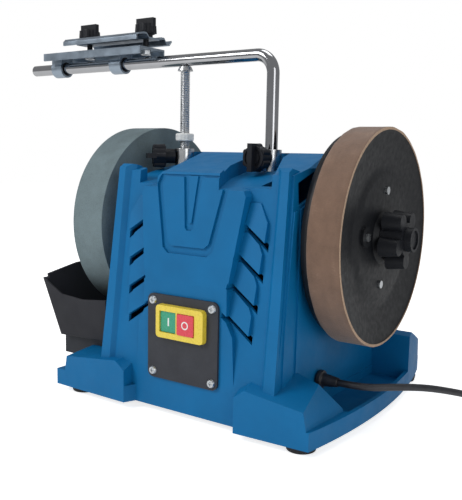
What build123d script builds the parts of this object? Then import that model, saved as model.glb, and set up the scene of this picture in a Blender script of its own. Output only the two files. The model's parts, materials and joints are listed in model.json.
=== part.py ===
from build123d import *
import math
import os

# A two-wheel wet grinding sharpener, in millimetres.
# +X runs along the axle towards the honing wheel, -Y is the operator's side, +Z is up.
# The origin lies on the bench under the middle of the axle.

os.makedirs("parts", exist_ok=True)

# ---------------------------------------------------------------- driving dimensions
FOOT_H = 7.0               # how far the rubber feet hold the base off the bench
AXLE_Z = 170.0
AXLE_R = 6.0
WHEEL_R = 100.0
WHEEL_OUT = 150.0          # outer faces of both wheels, measured from the middle
STONE_W = 40.0
BAND_W = 30.0              # width of the honing wheel's leather
BAND_T = 2.6
HUB_SCREW_R = 43.0         # how far the honing wheel's web screws stand from the axle
FLANGE_R = 26.0
SPACER_R = 11.0            # sleeves on the axle between each wheel and the housing
STAR_LOBE_R = 19.5         # how far the star knob's lobes stand from its axis
STAR_H = 19.0              # height of the lobes
STAR_CAP_H = 26.0
RUN = 0.05                 # radial clearance of a running fit
GAP = 0.3                  # free gap between neighbours that move

# housing
MID = 8.0                  # middle of the tower, a little nearer the honing wheel
WALL = 3.0
SIDE_HALF = 98.0           # half the tower's width at its side walls
ROOF_Z = 245.0
BROW_Z = 226.0             # top edge of the front
PANEL_Y = -117.5           # flat lower part of the front panel
PANEL_TOP_Y = -106.0
COLUMN_LOW_Y = -121.5
COLUMN_TOP_Y = -98.5
COLUMN_FOOT_Z = 44.0
SLOPE_Z = 126.0            # where the front panel starts to lean back
LEAN = (COLUMN_TOP_Y - COLUMN_LOW_Y) / (BROW_Z - COLUMN_FOOT_Z)
LOUVRES = 4
BASE_TOP = 23.0            # rim of the tray under the honing wheel
BASE_REAR = 150.0

# tool support
BAR_R = 6.0
BAR_Y = -21.0
BAR_Z = 337.5
BAR_LEFT = -294.0
BEND_R = 18.0
LEG_X = 37.5
ROD_X = -67.6
ROD_R = 5.1
SLEEVE_R = 10.0
SLEEVE_TOP = 248.0
SLEEVE_LOW = 196.0
NUT_LOW = 255.7
NUT_H = 7.7
KNOB_Z = 240.0
SCREW_R = 3.0
POCKET_Z = 222.0
LEG_LOW = 168.0            # lower ends of the bar's leg and of the threaded leg
ROD_LOW = 172.0
COLLAR_R = 14.0            # shoulder at the foot of each sleeve, inside the roof
KNOB_LOBES = 6

# switch panel
PLATE_HALF = 39.5
PLATE_MID_Z = 75.7
PLATE_T = 2.5
SWITCH_X = 8.4
SWITCH_Z = 91.6
SWITCH_W = 54.0
SWITCH_H = 31.0
SCREW_SPREAD = 33.3        # how far the plate's screws stand from its middle
SCREW_HEAD_R = 4.2
SCREW_CORE_R = 1.6
BUTTON_W = 18.3
BUTTON_H = 19.0
BUTTON_TRAVEL = 3.0
BUTTON_BACK = 2.2          # how far the keys' back ends sit inside the plate

# friction drive
RING_R = 82.0              # inner radius of the honing wheel's rubber drive ring
ROLLER_R = 7.0
MOTOR_Z = AXLE_Z - (RING_R - ROLLER_R - GAP)
MOTOR_R = 48.0
MOTOR_LEFT = -20.0         # ends of the motor's laminated body
MOTOR_RIGHT = 50.0
MOTOR_SHAFT_R = 5.0
BEARING_R = 8.0
RING_LEFT = 112.0          # ends of the drive ring
RING_RIGHT = 132.0

# jig
JIG_EAR_X = (-249.0, -158.0)
JIG_SCREW_X = (-204.0, -121.0)
JIG_PLATE_X = (-258.0, -112.0)
JIG_PLATE_Z = 351.0
JIG_HALF = 20.0            # half the depth of the lower plate
JAW_X = (-216.0, -109.0)
JAW_SEAT_Z = 363.0         # where the knobs press on the upper plate
JAW_TRAVEL = 4.0           # how far the jaw comes down on a blade
LINER_R = 7.6
EAR_R = 9.8
EAR_HALF = 8.0             # half the length of an ear along the bar
SHEET_T = 2.0
JAW_T = 1.8
NUT_T = 5.0
KNOB_NECK = 4.5            # height of the neck under each jig knob

# cord
CORD_D = 6.4
GLAND_Y = -42.0
GLAND_Z = 40.0
COIL_AT = (287.0, 140.0)
COIL_OUT = 51.0
COIL_IN = 22.2
COIL_LOW = 4.2             # height of the lower layer's middle
COIL_LAYER = 6.5
PLUG_BACK = 90.0
PLUG_X = 336.5
PLUG_Z = 18.4

# water trough
TROUGH_T = 2.5
TROUGH_END = 114.0         # half the trough's length at its rim
BRACKET_W = 22.0


# ---------------------------------------------------------------- small helpers
def block(x0, x1, y0, y1, z0, z1):
    """A box between two corners."""
    return Pos((x0 + x1) / 2, (y0 + y1) / 2, (z0 + z1) / 2) * Box(x1 - x0, y1 - y0, z1 - z0)


def face_of(points):
    return make_face(Polyline(*points, close=True))


def prism_x(points, x0, x1):
    """Outline given as (Y, Z), drawn out along X."""
    return extrude(Plane.YZ.offset(x0) * face_of(points), x1 - x0)


def prism_y(points, y0, y1):
    """Outline given as (X, Z), drawn out along Y."""
    return extrude(Plane.XZ.offset(-y1) * face_of(points), y1 - y0)


def prism_z(points, z0, z1):
    """Outline given as (X, Y), drawn out along Z."""
    return extrude(Plane.XY.offset(z0) * face_of(points), z1 - z0)


def rod_x(radius, x0, x1, y=0.0, z=AXLE_Z):
    return extrude(Plane.YZ.offset(x0) * Pos(y, z) * Circle(radius), x1 - x0)


def rod_y(radius, y0, y1, x, z):
    return extrude(Plane.XZ.offset(-y1) * Pos(x, z) * Circle(radius), y1 - y0)


def rod_z(radius, z0, z1, x, y):
    return extrude(Plane.XY.offset(z0) * Pos(x, y) * Circle(radius), z1 - z0)


def ring_x(outer, inner, x0, x1, y=0.0, z=AXLE_Z):
    return rod_x(outer, x0, x1, y, z) - rod_x(inner, x0 - 1, x1 + 1, y, z)


def ring_z(outer, inner, z0, z1, x, y):
    return rod_z(outer, z0, z1, x, y) - rod_z(inner, z0 - 1, z1 + 1, x, y)


def mirrored(points):
    """The same outline on the other side of the tower's middle."""
    return [(2 * MID - x, other) for x, other in points]


def save(node, shape):
    export_step(shape, f"parts/{node}.step")


# ---------------------------------------------------------------- housing
def tower(inset):
    """The tower's plain body: a side profile crossed with a front profile."""
    low_y = COLUMN_LOW_Y + 4 + inset
    top_y = COLUMN_TOP_Y + 4 + inset
    rear_y = 112 - inset
    side = [(low_y, FOOT_H), (low_y, 44), (top_y, BROW_Z - inset), (-12, ROOF_Z - inset),
            (60, ROOF_Z - inset), (rear_y - 14, BROW_Z - inset), (rear_y, 60), (rear_y, FOOT_H)]
    half = SIDE_HALF - inset
    right = [(MID + half, FOOT_H), (MID + half, 196), (MID + half - 2, 232 - inset),
             (MID + half - 14, ROOF_Z - inset)]
    front = right + list(reversed(mirrored(right)))
    return prism_x(side, -120, 130) & prism_y(front, -140, 130)


def columns():
    """The two leaning ribs at the front corners: a narrow flat face and a slope down to the louvres."""
    low = [(98.4, -88), (98.4, COLUMN_LOW_Y), (87.5, COLUMN_LOW_Y), (79, COLUMN_LOW_Y + 9), (79, -88)]
    top = [(94, -78), (94, COLUMN_TOP_Y), (86.5, COLUMN_TOP_Y), (79, COLUMN_TOP_Y + 8), (79, -78)]
    low = [(MID + d, y) for d, y in low]
    top = [(MID + d, y) for d, y in top]
    foot = prism_z(low, FOOT_H, COLUMN_FOOT_Z)
    ends = [Plane.XY.offset(COLUMN_FOOT_Z) * face_of(low), Plane.XY.offset(BROW_Z + 6) * face_of(top)]
    rib = loft(ends, ruled=True)
    cap = [(-130, 180), (-130, BROW_Z - 4), (COLUMN_TOP_Y - 2, BROW_Z + 2), (COLUMN_TOP_Y + 5, BROW_Z + 6),
           (-70, BROW_Z + 1), (-70, 180)]
    rib &= prism_x(cap, 0, 130) + block(0, 130, -140, -60, FOOT_H, 180)
    right = foot + rib
    return right + mirror(right, Plane.YZ.offset(MID))


def front_panel():
    """The middle of the front, with a low flat part for the switch and a leaning upper part."""
    profile = [(-90, FOOT_H), (PANEL_Y, FOOT_H), (PANEL_Y, SLOPE_Z), (PANEL_TOP_Y, BROW_Z - 4),
               (PANEL_TOP_Y + 3, BROW_Z), (-90, BROW_Z + 3)]
    right = [(MID, FOOT_H), (MID + 57, FOOT_H), (MID + 53, 86), (MID + 46.5, 98), (MID + 46.5, SLOPE_Z),
             (MID + 57.5, 207), (MID + 55, 212), (MID + 44, 215), (MID + 37, BROW_Z), (MID + 34, BROW_Z + 3),
             (MID, BROW_Z + 3)]
    outline = right + list(reversed(mirrored(right)))[1:-1]
    return prism_x(profile, -80, 90) & prism_y(outline, -140, -85)


def leaning(outline, depth, lift):
    """A slab that follows the panel's leaning face: from depth inside it to lift proud of it."""
    lean = (PANEL_TOP_Y - PANEL_Y) / (BROW_Z - 4 - SLOPE_Z)
    low, high = 130.0, 232.0
    slab = [(PANEL_Y + lean * (low - SLOPE_Z) - lift, low), (PANEL_Y + lean * (high - SLOPE_Z) - lift, high),
            (PANEL_Y + lean * (high - SLOPE_Z) + depth, high), (PANEL_Y + lean * (low - SLOPE_Z) + depth, low)]
    return prism_x(slab, -80, 90) & prism_y(outline, -140, -85)


def relief_recess():
    """The sunk border that frames the shield on the upper front."""
    half = [(MID, 153), (MID + 22, 153), (MID + 28, 158), (MID + 40, 215), (MID + 36, 224), (MID, 224)]
    return leaning(half + list(reversed(mirrored(half)))[1:-1], 2.4, 3)


def relief_shield():
    """The raised shield inside the border, with a pointed tongue down its middle."""
    half = [(MID, 160), (MID + 18, 160), (MID + 23, 164), (MID + 34, 215), (MID + 30, 222), (MID, 222)]
    shield = leaning(half + list(reversed(mirrored(half)))[1:-1], 4, 0)
    outer = [(MID - 10, 224), (MID - 4.5, 177), (MID - 2, 174.5), (MID + 2.5, 174.5), (MID + 5, 177),
             (MID + 11, 224)]
    tongue = [(MID - 4.5, 223), (MID - 1.2, 181), (MID + 2, 181), (MID + 5.5, 223)]
    return shield - leaning(outer, 2.2, 3) + leaning(tongue, 3.5, -0.6)


def louvres():
    """Overlapping scales beside the panel, each with a slot under its lower edge."""
    scales = Part()
    slots = Part()
    for step in range(LOUVRES):
        inner, outer = MID + 57.5 - 4.6 * step, MID + 76.5 - 2.6 * step
        high, low = 202 - 25.5 * step, 186 - 26.5 * step
        scale = [(inner, high), (inner - 3, high - 19), (outer - 0.5, low - 20), (outer, low),
                 (outer - 9, high)]
        slot = [(inner - 2, high - 18.5), (inner - 3, high - 23), (outer + 1.5, low - 25),
                (outer + 1.5, low - 18)]
        back = COLUMN_TOP_Y + 4 - LEAN * (BROW_Z - high)
        tilt = [(-86, low - 26), (back - LEAN * 44 - 5.2, low - 26), (back - 1.5, high + 1), (-86, high + 1)]
        wedge = prism_x(tilt, -120, 130)
        for outline in (scale, mirrored(scale)):
            scales += prism_y(outline, -130, -88) & wedge
        for outline in (slot, mirrored(slot)):
            slots += prism_y(outline, -130, -86)
    return scales, slots


def clamp_pockets(grow=0.0):
    """Hollows in the roof's front edge that give each clamp knob room to turn, or the same space grown."""
    left = [(-52, -4), (-46, -30), (-29, -125), (-60, -125), (-64, -84), (-104, -78), (-104, -20), (-84, -4)]
    right = [(23, -4), (19, -30), (21, -66), (44, -125), (80, -125), (84, -92), (56, -30), (52, -4)]
    floor = [(-130, POCKET_Z - 14), (-107, POCKET_Z - 10), (-38, POCKET_Z + 4), (10, POCKET_Z + 12), (10, 270),
             (-130, 270)]
    slope = prism_x([(y, z - grow) for y, z in floor], -130, 130)
    pockets = Part()
    for outline in (left, right):
        plan = face_of(outline)
        if grow:
            plan = offset(plan, amount=grow, kind=Kind.INTERSECTION)
        pockets += extrude(Plane.XY.offset(190) * plan, 80) & slope
    return pockets


def base_outline(inset):
    """Plan of the base: two front feet blocks and a right side that bows outwards."""
    i = inset
    front = Polyline((-146 + i, BASE_REAR - 2 - i), (-147 + i, -127 + i), (-54 - i, -129 + i),
                     (-49 - i, PANEL_Y + i), (65 + i, PANEL_Y + i), (71 + i, -129 + i), (142 - i, -126 + i))
    bow = ThreePointArc((142 - i, -126 + i), (153 - i, 0), (134 - i, BASE_REAR - i))
    rear = Line((134 - i, BASE_REAR - i), (-146 + i, BASE_REAR - 2 - i))
    return make_face(front + bow + rear)


def front_block(sign, inset):
    """One wedge-topped block at the base's front corner, falling away to the tray rim behind."""
    i = inset
    reach = 0 if sign > 0 else 12
    crown = 64 if sign > 0 else 48
    crest_z = 50 if sign > 0 else 46
    near = [(62 + i, FOOT_H), (62 + i, 38 - i), (73, 46 - i), (129 + reach - i, 38 - i),
            (134 + reach - i, FOOT_H)]
    crest = [(62 + i, FOOT_H), (62 + i, 58 - i), (73, crown - i), (121 + reach - i, crest_z - i),
             (141 + reach - i, FOOT_H)]
    tail = [(62 + i, FOOT_H), (62 + i, 56 - i), (73, crown - 8 - i), (134 + reach - i, BASE_TOP - i),
            (142 + reach - i, FOOT_H)]
    sections = []
    for outline, y in ((near, -129 + i), (crest, -85 + i / 2), (tail, -60 - i)):
        placed = [(MID + sign * x, z) for x, z in outline]
        sections.append(Plane.XZ.offset(-y) * face_of(placed))
    return loft(sections, ruled=True)


def rear_block(sign, inset):
    """The raised corner behind the tray, sloping down to the rear edge."""
    i = inset
    reach = 148 if sign > 0 else 158
    crown = 63 if sign > 0 else 47
    side = [(84 + i, FOOT_H), (84 + i, crown - 3 - i), (92 + i, crown - i), (BASE_REAR - 8, 44 - i),
            (BASE_REAR + 2 - i, FOOT_H)]
    x0, x1 = sorted((MID, MID + sign * (reach - i)))
    return prism_x(side, x0, x1)


def base_body(inset):
    solid = extrude(Plane.XY.offset(FOOT_H) * base_outline(inset), BASE_TOP - FOOT_H - inset)
    bulk = extrude(Plane.XY.offset(FOOT_H) * base_outline(inset), 80)
    for sign in (1, -1):
        solid += front_block(sign, inset) & bulk
        solid += rear_block(sign, inset) & bulk
    return solid


def tray_recess():
    """The shallow well under the honing wheel, inside the base's rim."""
    rim = extrude(Plane.XY.offset(14) * base_outline(4.0), 20)
    return rim & block(MID + SIDE_HALF + 1, 160, -62, 84, 14, 34)


def tray_floor_cut(inset):
    """Keeps the hollow under the tray below the tray's own floor."""
    return block(MID + SIDE_HALF - 2, 160, -66, 88, 14 - inset, 30)


def side_windows():
    """The tall opening high in each side wall, under the roof's edge."""
    opening = [(-88, 200), (-50, 212), (40, 212), (80, 200), (80, 219), (52, 233), (-14, 234), (-60, 229),
               (-88, 220)]
    right = prism_x(opening, MID + 60, 130)
    left = mirror(right, Plane.YZ.offset(MID)) & block(-130, 0, 6, 120, 190, 240)
    return right + left


def side_ribs():
    """The low frame round the rest of each side wall."""
    profile = [(-112, FOOT_H), (-108, 100), (-97, 196), (-93, 197), (-93, FOOT_H)]
    inner = [(-88, FOOT_H), (-86, 198), (-50, 210), (-46, 206), (-80, 194), (-82, FOOT_H)]
    right = prism_x(profile, MID + SIDE_HALF - 4, MID + SIDE_HALF + 1.5)
    right += prism_x(inner, MID + SIDE_HALF - 1, MID + SIDE_HALF + 1.5)
    return right + mirror(right, Plane.YZ.offset(MID))


def housing():
    scales, slots = louvres()
    shell = tower(0) + columns() + front_panel() + side_ribs() + scales
    shell -= relief_recess()
    shell += relief_shield()
    shell += base_body(0)
    shell -= clamp_pockets()
    inside = tower(WALL) - clamp_pockets(WALL)
    for x in (ROD_X, LEG_X):
        inside -= rod_z(SLEEVE_R + WALL + 1, SLEEVE_LOW + 4, ROOF_Z, x, BAR_Y)
    shell -= inside
    hollow = base_body(WALL + 1) - tray_floor_cut(WALL)
    shell -= hollow
    shell -= tray_recess()
    shell -= slots
    shell -= side_windows()
    shell -= rod_x(AXLE_R + 4, MID - 120, MID + 120)
    shell -= rod_x(14, MID + 80, MID + 120, 0, MOTOR_Z)
    shell -= block(SWITCH_X - 24, SWITCH_X + 24, -130, -90, SWITCH_Z - 12.5, SWITCH_Z + 12.5)
    shell -= rod_x(5.0, MID + 80, MID + 120, GLAND_Y, GLAND_Z)
    for x in (ROD_X, LEG_X):
        shell -= rod_z(SLEEVE_R, 150, 260, x, BAR_Y)
    for x, z in plate_screw_places():
        shell -= rod_y(SCREW_CORE_R, -130, -100, x, z)
    return shell


def bottom_plate():
    """Sheet steel floor that closes the base."""
    return extrude(Plane.XY.offset(FOOT_H) * base_outline(WALL + 1.3), 1.5)


# ---------------------------------------------------------------- feet and panel
def foot_places():
    return [(x, y) for x in (-126, 126) for y in (-108, 126)]


def rubber_feet():
    feet = Part()
    for x, y in foot_places():
        foot = Pos(x, y, FOOT_H / 2) * Cone(12.5, 14, FOOT_H)
        feet += foot - rod_z(5.5, -1, 3, x, y) - rod_z(2.6, -1, 8, x, y)
    return feet


def foot_screws():
    screws = Part()
    for x, y in foot_places():
        screws += rod_z(5.0, 0.8, 3, x, y) + rod_z(2.5, 3, 7, x, y)
    return screws


def plate_screw_places():
    spread = (-SCREW_SPREAD, SCREW_SPREAD)
    return [(MID + dx, PLATE_MID_Z + dz) for dx in spread for dz in spread]


def panel_plate():
    square = RectangleRounded(2 * PLATE_HALF, 2 * PLATE_HALF, 6)
    plate = extrude(Plane.XZ.offset(-PANEL_Y) * Pos(MID, PLATE_MID_Z) * square, PLATE_T)
    plate -= block(SWITCH_X - 24, SWITCH_X + 24, -130, -110, SWITCH_Z - 12.5, SWITCH_Z + 12.5)
    for x, z in plate_screw_places():
        plate -= rod_y(2.1, -130, -110, x, z)
    return plate


def plate_screws():
    """Screws with low tapered heads and a cross recess."""
    screws = Part()
    face = PANEL_Y - PLATE_T
    for x, z in plate_screw_places():
        head = Plane.XZ.offset(-face) * Pos(x, z) * Circle(SCREW_HEAD_R)
        screw = extrude(head, 1.8, taper=28) + rod_y(SCREW_CORE_R, face, face + 12, x, z)
        screw -= block(x - 2, x + 2, face - 3, face - 0.7, z - 0.4, z + 0.4)
        screw -= block(x - 0.4, x + 0.4, face - 3, face - 0.7, z - 2, z + 2)
        screws += screw
    return screws


def switch_frame():
    face = PANEL_Y - PLATE_T
    outer = Plane.XZ.offset(-face) * Pos(SWITCH_X, SWITCH_Z) * RectangleRounded(SWITCH_W, SWITCH_H, 4)
    frame = extrude(outer, 5, taper=6)
    wells = Part()
    for x in button_middles():
        wells += block(x - BUTTON_W / 2 - GAP, x + BUTTON_W / 2 + GAP, -140, face + 1,
                       SWITCH_Z - BUTTON_H / 2 - GAP, SWITCH_Z + BUTTON_H / 2 + GAP)
    return frame - wells


def button_middles():
    return (SWITCH_X - 13.0, SWITCH_X + 7.6)


def switch_body():
    """The moulded block behind the frame that holds the contacts."""
    face = PANEL_Y - PLATE_T
    floor = face + BUTTON_BACK + BUTTON_TRAVEL + GAP
    body = block(SWITCH_X - 23.5, SWITCH_X + 23.5, floor, face + 40, SWITCH_Z - 12, SWITCH_Z + 12)
    rim = block(SWITCH_X - 23.5, SWITCH_X + 23.5, face, floor, SWITCH_Z - 12, SWITCH_Z + 12)
    for x in button_middles():
        rim -= block(x - BUTTON_W / 2 - GAP, x + BUTTON_W / 2 + GAP, face - 1, face + 6,
                     SWITCH_Z - BUTTON_H / 2 - GAP, SWITCH_Z + BUTTON_H / 2 + GAP)
    return body + rim


def push_button(x, proud):
    """A rectangular key; its back end stops short of the switch body by its travel."""
    face = PANEL_Y - PLATE_T
    back = face + BUTTON_BACK
    outline = Plane.XZ.offset(-back) * Pos(x, SWITCH_Z) * RectangleRounded(BUTTON_W, BUTTON_H, 1.5)
    return extrude(outline, BUTTON_BACK + proud)


# ---------------------------------------------------------------- axle and wheels
def axle():
    return rod_x(AXLE_R, -WHEEL_OUT - 20, WHEEL_OUT + 8)


def axle_bushes():
    bushes = Part()
    for side in (-1, 1):
        wall = MID + side * SIDE_HALF
        x0, x1 = sorted((wall - side * (WALL + 2), wall + side * 1.5))
        bushes += ring_x(AXLE_R + 4, AXLE_R + RUN, x0, x1)
    return bushes


def grinding_stone():
    return ring_x(WHEEL_R, AXLE_R, -WHEEL_OUT, -WHEEL_OUT + STONE_W)


def stone_flanges():
    """Steel washers on both faces of the stone; the inner one has a long boss that sets its place."""
    inner = -WHEEL_OUT + STONE_W
    flanges = ring_x(FLANGE_R, AXLE_R, inner, inner + 4)
    flanges += ring_x(SPACER_R, AXLE_R, inner + 4, MID - SIDE_HALF - 2)
    return flanges + ring_x(FLANGE_R, AXLE_R, -WHEEL_OUT - 4, -WHEEL_OUT)


def stone_nut():
    x0 = -WHEEL_OUT - 14
    nut = extrude(Plane.YZ.offset(x0) * Pos(0, AXLE_Z) * RegularPolygon(9.5, 6, major_radius=False), 10)
    return nut - rod_x(AXLE_R, x0 - 1, x0 + 11)


def honing_spacer():
    return ring_x(SPACER_R, AXLE_R, MID + SIDE_HALF + 2, WHEEL_OUT - BAND_W)


def honing_wheel():
    """Moulded wheel: a deep rim that carries the leather, a dished web and a hub."""
    rim_r = WHEEL_R - BAND_T
    hub_x = WHEEL_OUT - BAND_W
    web = WHEEL_OUT - 4
    profile = [(RING_LEFT, rim_r - 8), (RING_LEFT, rim_r - 3), (RING_LEFT + 6, rim_r), (WHEEL_OUT - 0.5, rim_r),
               (WHEEL_OUT - 1.5, rim_r - 3), (web - 2, 66), (web - 2, 60), (web, 56), (web, 24),
               (WHEEL_OUT, 20), (WHEEL_OUT, AXLE_R), (hub_x, AXLE_R), (hub_x, 16), (RING_RIGHT, 18),
               (RING_RIGHT + 2, rim_r - 8)]
    wheel = revolve(Plane.XZ * face_of(profile), Axis.X)
    wheel += rod_x(9, web - 2, WHEEL_OUT - 1, -HUB_SCREW_R, 4)
    return Pos(0, 0, AXLE_Z) * wheel


def drive_ring():
    return ring_x(WHEEL_R - BAND_T - 8, RING_R, RING_LEFT, RING_RIGHT)


def leather_band():
    return ring_x(WHEEL_R, WHEEL_R - BAND_T, WHEEL_OUT - BAND_W, WHEEL_OUT)


def hub_screws():
    """Four screws in the wheel's web; the one towards the operator stands on a boss."""
    screws = Part()
    for turn in range(4):
        angle = math.radians(85 + 90 * turn)
        y, z = HUB_SCREW_R * math.cos(angle), AXLE_Z + HUB_SCREW_R * math.sin(angle)
        seat = WHEEL_OUT - 1 if turn == 1 else WHEEL_OUT - 4
        screws += rod_x(3.6, seat, seat + 2, y, z)
    return screws


def star_knob():
    """Five-lobed hand knob that holds the honing wheel on the axle: tapered lobes and a round cap."""
    along_axle = Pos(WHEEL_OUT, 0, AXLE_Z) * Rot(0, 90, 0)
    up = (Align.CENTER, Align.CENTER, Align.MIN)
    knob = Cone(18, 15, STAR_H, align=up) + Cylinder(11, STAR_CAP_H, align=up)
    for lobe in range(5):
        knob += Rot(0, 0, 72 * lobe) * Pos(STAR_LOBE_R, 0, 2) * Cone(9.2, 7.2, STAR_H - 2, align=up)
    knob -= Cylinder(AXLE_R, 8, align=up)
    knob -= Pos(0, 0, STAR_CAP_H - 1.5) * Cylinder(8.5, 2, align=up)
    return along_axle * knob


# ---------------------------------------------------------------- motor
def motor_body():
    return ring_x(MOTOR_R, 20, MOTOR_LEFT, MOTOR_RIGHT, 0, MOTOR_Z)


def motor_bells():
    """Cast end covers that hold the bearings."""
    rim = (MOTOR_R, 40, 0, 12)
    disc = (MOTOR_R, BEARING_R, 10, 14)
    seat = (12, BEARING_R, 2, 10)
    bells = Part()
    for end, out in ((MOTOR_LEFT, -1), (MOTOR_RIGHT, 1)):
        for outer, inner, near, far in (rim, disc, seat):
            x0, x1 = sorted((end + out * near, end + out * far))
            bells += ring_x(outer, inner, x0, x1, 0, MOTOR_Z)
    return bells


def motor_rotor():
    return ring_x(19.5, MOTOR_SHAFT_R, MOTOR_LEFT + 2, MOTOR_RIGHT - 2, 0, MOTOR_Z)


def motor_shaft():
    return rod_x(MOTOR_SHAFT_R, MOTOR_LEFT - 11, RING_RIGHT - 1, 0, MOTOR_Z)


def motor_bearings():
    bearings = Part()
    for x0 in (MOTOR_LEFT - 9, MOTOR_RIGHT + 3):
        bearings += ring_x(BEARING_R, MOTOR_SHAFT_R + RUN, x0, x0 + 6, 0, MOTOR_Z)
    return bearings


def drive_roller():
    return ring_x(ROLLER_R, MOTOR_SHAFT_R, RING_LEFT + 1, RING_RIGHT - 1, 0, MOTOR_Z)


def motor_bracket():
    """Sheet steel cradle that stands on the floor plate."""
    x0, x1 = MOTOR_LEFT - 2, MOTOR_RIGHT + 2
    low = FOOT_H + 1.5
    bracket = block(x0, x1, -50, 50, low, low + SHEET_T)
    for y in (-50, 50 - SHEET_T):
        bracket += block(x0, x1, y, y + SHEET_T, low, 60)
    return bracket - rod_x(MOTOR_R, x0 - 1, x1 + 1, 0, MOTOR_Z)


def capacitor():
    return rod_x(17, -70, -26, 62, 60)


# ---------------------------------------------------------------- tool support
def support_bar():
    """Plain steel bar: the long rest, a bend and the leg that slides in its sleeve."""
    corner_x = LEG_X - BEND_R
    corner_z = BAR_Z - BEND_R
    rest = extrude(Plane.YZ.offset(BAR_LEFT) * Pos(BAR_Y, BAR_Z) * Circle(BAR_R), corner_x - BAR_LEFT)
    leg = rod_z(BAR_R, LEG_LOW, corner_z, LEG_X, BAR_Y)
    section = Plane.YZ.offset(corner_x) * Pos(BAR_Y, BAR_Z) * Circle(BAR_R)
    bend = revolve(section, Axis((corner_x, BAR_Y, corner_z), (0, 1, 0)), 90)
    return rest + bend + leg


def threaded_rod():
    """Threaded leg under the bar, with the small collar that meets it."""
    top = BAR_Z - BAR_R
    rod = rod_z(ROD_R, ROD_LOW, top - 0.1, ROD_X, BAR_Y)
    return rod + Pos(ROD_X, BAR_Y, top - 2.6) * Cone(8, 6, 5)


def adjusting_nut():
    nut = ring_z(9.4, ROD_R + RUN, NUT_LOW, NUT_LOW + NUT_H, ROD_X, BAR_Y)
    rim = nut.edges().filter_by(GeomType.CIRCLE).sort_by(SortBy.RADIUS)[-2:]
    return chamfer(rim, 0.8)


def sleeve(x, bore, axis):
    """Guide sleeve: a collar above the roof, a stem through it and a tapped hole for the clamp screw."""
    body = rod_z(SLEEVE_R, SLEEVE_LOW, SLEEVE_TOP, x, BAR_Y)
    body += rod_z(COLLAR_R, SLEEVE_LOW, SLEEVE_LOW + 4, x, BAR_Y)
    body -= rod_z(bore, SLEEVE_LOW - 1, SLEEVE_TOP + 1, x, BAR_Y)
    tapped = Cylinder(SCREW_R + RUN, COLLAR_R, align=(Align.CENTER, Align.CENTER, Align.MIN))
    return body - clamp_axis(x, axis) * tapped


def clamp_axis(x, axis):
    """Where a clamp screw starts, on the middle of its sleeve, looking out along its axis."""
    return Plane(origin=(x, BAR_Y, KNOB_Z), z_dir=axis).location


def grip(radius, height):
    """Six-lobed barrel with a wing across its end, standing on the plane Z = 0."""
    up = (Align.CENTER, Align.CENTER, Align.MIN)
    head = Cylinder(radius, height, align=up)
    for lobe in range(KNOB_LOBES):
        turn = Rot(0, 0, 360 / KNOB_LOBES * lobe)
        head += turn * Pos(radius - 1, 0, 1) * Cone(3.4, 2.9, height - 2, align=up)
    groove = Cylinder(radius - 2, 2, align=up) - Cylinder(radius - 4.5, 2, align=up)
    head -= Pos(0, 0, height - 1.2) * groove
    return head + Pos(0, 0, height + 1.5) * Box(2 * radius + 4, 5, 9)


def clamp_knob(x, axis, tip):
    """Winged knob moulded on its clamp screw."""
    up = (Align.CENTER, Align.CENTER, Align.MIN)
    screw = Pos(0, 0, tip) * Cylinder(SCREW_R, 16 - tip, align=up)
    neck = Pos(0, 0, SLEEVE_R + GAP) * Cylinder(7.5, 12, align=up)
    return clamp_axis(x, axis) * (screw + neck + Pos(0, 0, 20) * grip(11, 13))


# ---------------------------------------------------------------- jig
def jig_liners():
    liners = Part()
    for x in JIG_EAR_X:
        liners += ring_x(LINER_R, BAR_R + RUN, x - EAR_HALF, x + EAR_HALF, BAR_Y, BAR_Z)
    return liners


def jig_screw_holes():
    holes = Part()
    for x in JIG_SCREW_X:
        holes += rod_z(SCREW_R + RUN, BAR_Z, JAW_SEAT_Z + 10, x, BAR_Y)
    return holes


def jig_carrier():
    """Pressed lower plate with turned-down sides and two round ears that wrap the bar."""
    x0, x1 = JIG_PLATE_X
    top = JIG_PLATE_Z + SHEET_T
    plate = block(x0, x1, BAR_Y - JIG_HALF, BAR_Y + JIG_HALF, JIG_PLATE_Z, top)
    for y in (BAR_Y - JIG_HALF, BAR_Y + JIG_HALF - SHEET_T):
        plate += block(x0, x1, y, y + SHEET_T, JIG_PLATE_Z - 6, top)
    bore = rod_x(LINER_R + RUN, x0 - 1, x1 + 1, BAR_Y, BAR_Z)
    for x in JIG_EAR_X:
        left, right = x - EAR_HALF, x + EAR_HALF
        plate += ring_x(EAR_R, LINER_R + RUN, left, right, BAR_Y, BAR_Z)
        plate += block(left, right, BAR_Y - 8.5, BAR_Y + 8.5, BAR_Z + 5, JIG_PLATE_Z + 1) - bore
    return plate - jig_screw_holes()


def jig_jaw():
    """Folded upper plate: a turned-down front, a ridge, a flat seat for the knobs and a trough behind."""
    fold = [(-29, -1), (-26, 2), (-16, 4), (-12.5, 4), (-8.5, 0), (8.5, 0), (11, 2.2), (16, 2.2), (21, -3.5),
            (25, -3.5), (29, 1)]
    top = [(BAR_Y + y, JAW_SEAT_Z + z) for y, z in fold]
    under = [(y, z - JAW_T) for y, z in reversed(top)]
    jaw = prism_x(top + under, *JAW_X)
    front = top[0][0]
    jaw += block(*JAW_X, front, front + JAW_T, JAW_SEAT_Z - 5, JAW_SEAT_Z - 1.5)
    return jaw - jig_screw_holes()


def jig_nuts():
    nuts = Part()
    for x in JIG_SCREW_X:
        hexagon = Pos(x, BAR_Y) * RegularPolygon(5, 6, major_radius=False)
        nuts += extrude(Plane.XY.offset(JIG_PLATE_Z - NUT_T) * hexagon, NUT_T)
    return nuts - jig_screw_holes()


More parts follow.
